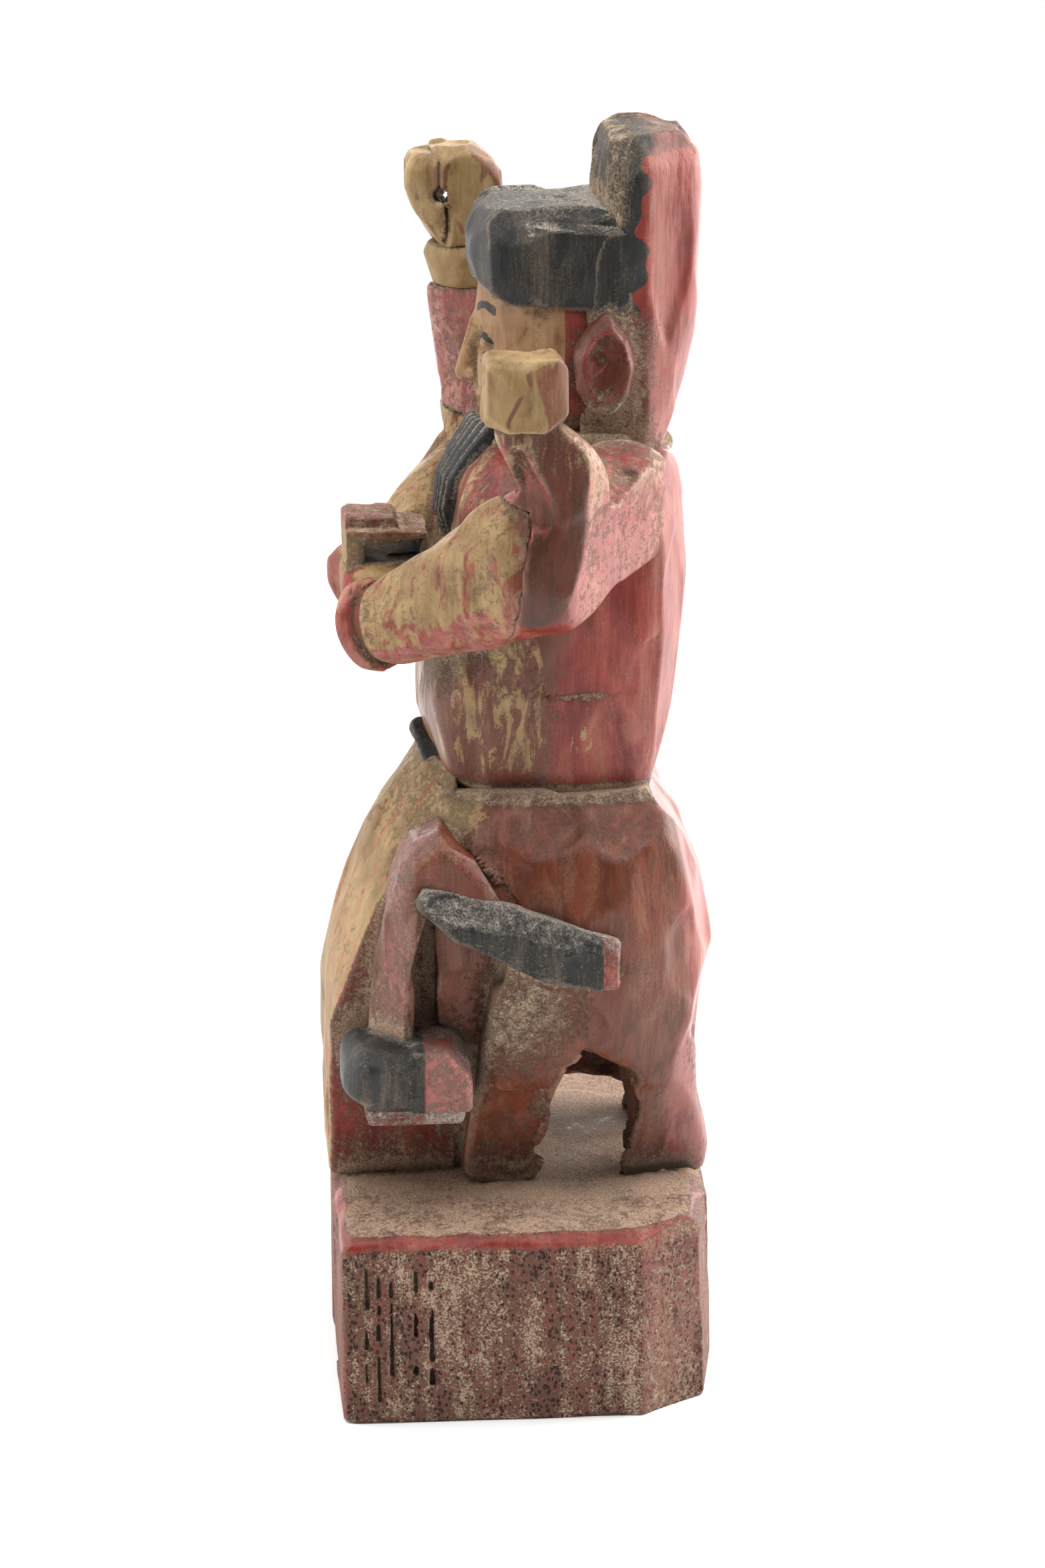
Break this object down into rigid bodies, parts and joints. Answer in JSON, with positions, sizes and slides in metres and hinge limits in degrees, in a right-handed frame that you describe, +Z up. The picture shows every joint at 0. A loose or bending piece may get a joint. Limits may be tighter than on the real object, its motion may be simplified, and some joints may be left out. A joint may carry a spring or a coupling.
{
  "type": "carved ancestor figure",
  "caption": "Carved and painted wooden household ancestor figure: a seated four-armed elder in a tall stepped hat, one fist bored for a staff, on a block plinth.",
  "frame": {"origin": "centre of the plinth's underside", "axes": "+Z up, the figure faces -Y, +X is the figure's own left"},
  "size_m": [0.1165, 0.091, 0.2845],
  "materials": {
    "red_lacquer": "oxblood lacquer over wood, glossy on the knife facets, worn and dusty in the hollows",
    "gold_paint": "dull mustard gold paint rubbed through to red in patches",
    "black_paint": "charcoal black paint, satin, dusty on top",
    "flesh_paint": "tan paint, matt",
    "bare_wood": "plain whittled wood",
    "paper": "old rolled paper, matt"
  },
  "bodies": {
    "figure": {"plinth": "red_lacquer", "robe_seat": "red_lacquer", "front_panel": "gold_paint", "left_leg": "red_lacquer", "right_leg": "red_lacquer", "left_boot": "black_paint", "right_boot": "black_paint", "hip_scabbard": "black_paint", "torso": "red_lacquer", "belt_knot": "black_paint", "collar": "gold_paint", "head": "flesh_paint", "left_ear": "red_lacquer", "right_ear": "red_lacquer", "hat_cap": "black_paint", "hat_crown": "red_lacquer", "beard": "black_paint", "left_sleeve": "gold_paint", "right_sleeve": "gold_paint", "left_cuff": "gold_paint", "right_cuff": "gold_paint", "joined_hands": "gold_paint", "held_box": "gold_paint", "left_raised_arm": "red_lacquer", "right_raised_arm": "red_lacquer", "left_fist": "gold_paint", "right_fist": "gold_paint", "wrist_ring": "gold_paint", "paper_roll": "paper", "fist_pegs": "bare_wood", "arm_pegs": "bare_wood", "plinth_pegs": "bare_wood"},
    "cover": {"back_cover": "red_lacquer"}
  },
  "joints": [
    {"name": "cover_slide", "type": "slide", "parent": "figure", "child": "cover", "axis": [0, 1, 0], "range_m": [0, 0.03]}
  ]
}
